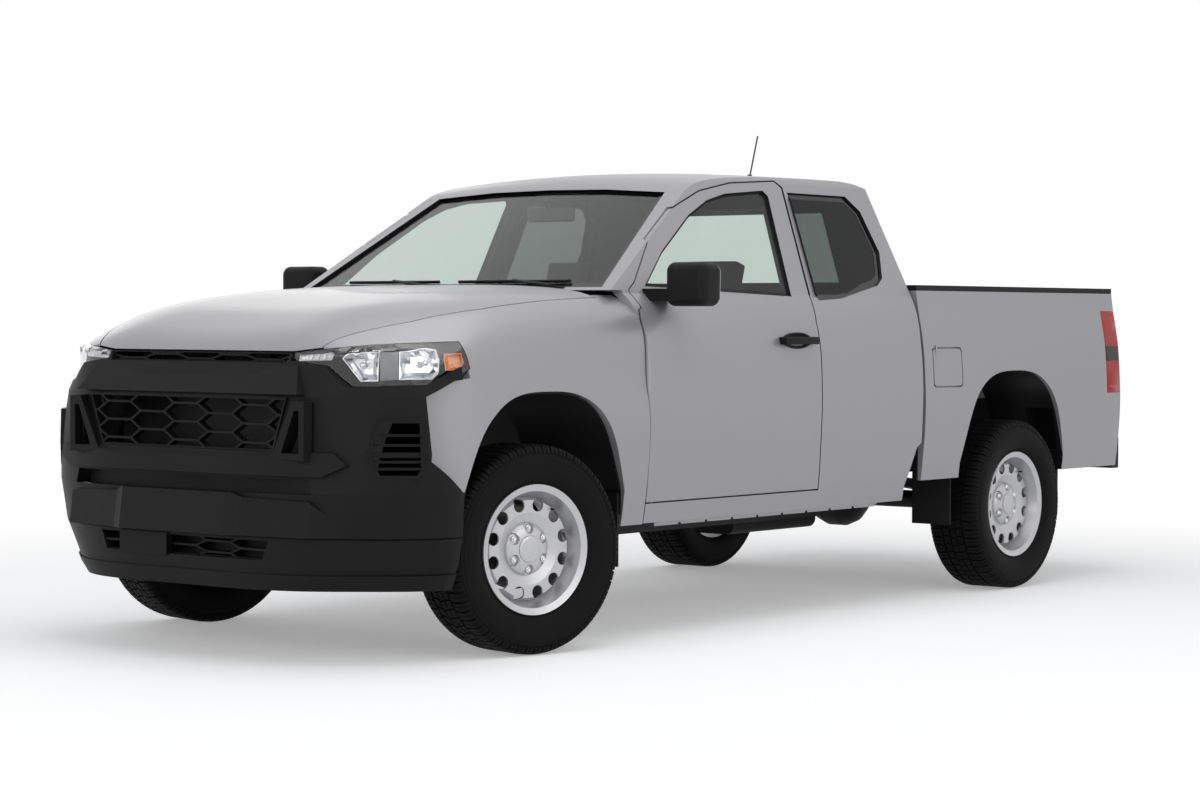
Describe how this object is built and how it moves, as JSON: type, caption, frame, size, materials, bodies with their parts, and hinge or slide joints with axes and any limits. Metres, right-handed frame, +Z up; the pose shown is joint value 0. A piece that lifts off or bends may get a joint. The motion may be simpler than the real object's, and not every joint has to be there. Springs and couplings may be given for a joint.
{
  "type": "pickup truck",
  "caption": "Extended-cab pickup truck with load bed, opening hood, doors, tailgate and fuel flap, and steered rolling wheels.",
  "frame": {"origin": "half way along the truck, on the centre plane, on the ground", "axes": "+X the vehicle's left side, -Y the nose, +Z up"},
  "size_m": [2.244, 5.425, 2.0129],
  "materials": {
    "body_paint": "metallic paint",
    "black_plastic": "grained black plastic",
    "gloss_black": "gloss black",
    "window_glass": "tinted",
    "lamp_lens": "clear lens",
    "red_lens": "red lens",
    "frame_black": "black chassis paint",
    "cast_metal": "raw casting",
    "wheel_paint": "silver steel wheel",
    "tyre_rubber": "rubber",
    "seat_cloth": "dark cloth",
    "cabin_plastic": "dark trim",
    "flap_rubber": "rubber"
  },
  "bodies": {
    "body": {"cab_shell": "body_paint", "fixed_glass": "window_glass", "front_fenders": "body_paint", "headlamps": "lamp_lens", "front_bumper": "black_plastic", "grille": "black_plastic", "bed": "body_paint", "tail_lamps": "red_lens", "bed_rail_caps": "black_plastic", "chassis_frame": "frame_black", "front_suspension": "frame_black", "engine_block": "cast_metal", "rear_axle": "frame_black", "leaf_springs": "frame_black", "driveshaft": "frame_black", "fuel_tank": "black_plastic", "dashboard": "cabin_plastic", "seats": "seat_cloth", "rear_bumper": "black_plastic", "mud_flaps": "flap_rubber", "arch_liners": "black_plastic", "antenna": "gloss_black", "radiator": "frame_black", "exhaust": "cast_metal", "inside_mirror": "gloss_black"},
    "hood": {"hood": "body_paint"},
    "door_left": {"door_left": "body_paint", "door_glass_left": "window_glass", "door_fittings_left": "black_plastic"},
    "door_right": {"door_right": "body_paint", "door_glass_right": "window_glass", "door_fittings_right": "black_plastic"},
    "tailgate": {"tailgate": "body_paint"},
    "fuel_flap": {"fuel_flap": "body_paint"},
    "steering_wheel": {"steering_wheel": "cabin_plastic"},
    "knuckle_left": {"knuckle_left": "cast_metal"},
    "knuckle_right": {"knuckle_right": "cast_metal"},
    "wheel_front_left": {"rim_front_left": "wheel_paint", "tyre_front_left": "tyre_rubber"},
    "wheel_front_right": {"rim_front_right": "wheel_paint", "tyre_front_right": "tyre_rubber"},
    "wheel_rear_left": {"rim_rear_left": "wheel_paint", "tyre_rear_left": "tyre_rubber"},
    "wheel_rear_right": {"rim_rear_right": "wheel_paint", "tyre_rear_right": "tyre_rubber"}
  },
  "joints": [
    {"name": "hood_hinge", "type": "hinge", "parent": "body", "child": "hood", "pos_m": [0, -1.2825, 1.3], "axis": [-1, 0, 0], "range_deg": [0, 50]},
    {"name": "door_left_hinge", "type": "hinge", "parent": "body", "child": "door_left", "pos_m": [0.935, -1.1155, 0.9], "axis": [0, 0, -1], "range_deg": [0, 65]},
    {"name": "door_right_hinge", "type": "hinge", "parent": "body", "child": "door_right", "pos_m": [-0.935, -1.1155, 0.9], "axis": [0, 0, 1], "range_deg": [0, 65]},
    {"name": "tailgate_hinge", "type": "hinge", "parent": "body", "child": "tailgate", "pos_m": [0, 2.4935, 0.826], "axis": [-1, 0, 0], "range_deg": [0, 90]},
    {"name": "fuel_flap_hinge", "type": "hinge", "parent": "body", "child": "fuel_flap", "pos_m": [0.955, 0.8815, 1], "axis": [0, 0, -1], "range_deg": [0, 95]},
    {"name": "steering_left", "type": "hinge", "parent": "body", "child": "knuckle_left", "pos_m": [0.775, -1.7725, 0.381], "axis": [0, 0, 1], "range_deg": [-22.6, 47.4]},
    {"name": "steering_right", "type": "hinge", "parent": "body", "child": "knuckle_right", "pos_m": [-0.775, -1.7725, 0.381], "axis": [0, 0, 1], "range_deg": [-22.6, 47.4]},
    {"name": "steering_column", "type": "hinge", "parent": "body", "child": "steering_wheel", "pos_m": [0.385, -0.7625, 1.12], "axis": [0, 0.9063, 0.4226], "range_deg": [-760, 760]},
    {"name": "spin_front_left", "type": "hinge", "parent": "knuckle_left", "child": "wheel_front_left", "pos_m": [0.84337, -1.78753, 0.381], "axis": [0.9767, -0.2147, 0], "continuous": true},
    {"name": "spin_rear_left", "type": "hinge", "parent": "body", "child": "wheel_rear_left", "pos_m": [0.845, 1.5645, 0.381], "axis": [1, 0, 0], "continuous": true},
    {"name": "spin_front_right", "type": "hinge", "parent": "knuckle_right", "child": "wheel_front_right", "pos_m": [-0.84337, -1.75747, 0.381], "axis": [0.9767, -0.2147, 0], "continuous": true},
    {"name": "spin_rear_right", "type": "hinge", "parent": "body", "child": "wheel_rear_right", "pos_m": [-0.845, 1.5645, 0.381], "axis": [1, 0, 0], "continuous": true}
  ],
  "couplings": [
    {"joint": "steering_right", "follows": "steering_left", "ratio": 1},
    {"joint": "steering_column", "follows": "steering_left", "ratio": 16}
  ]
}
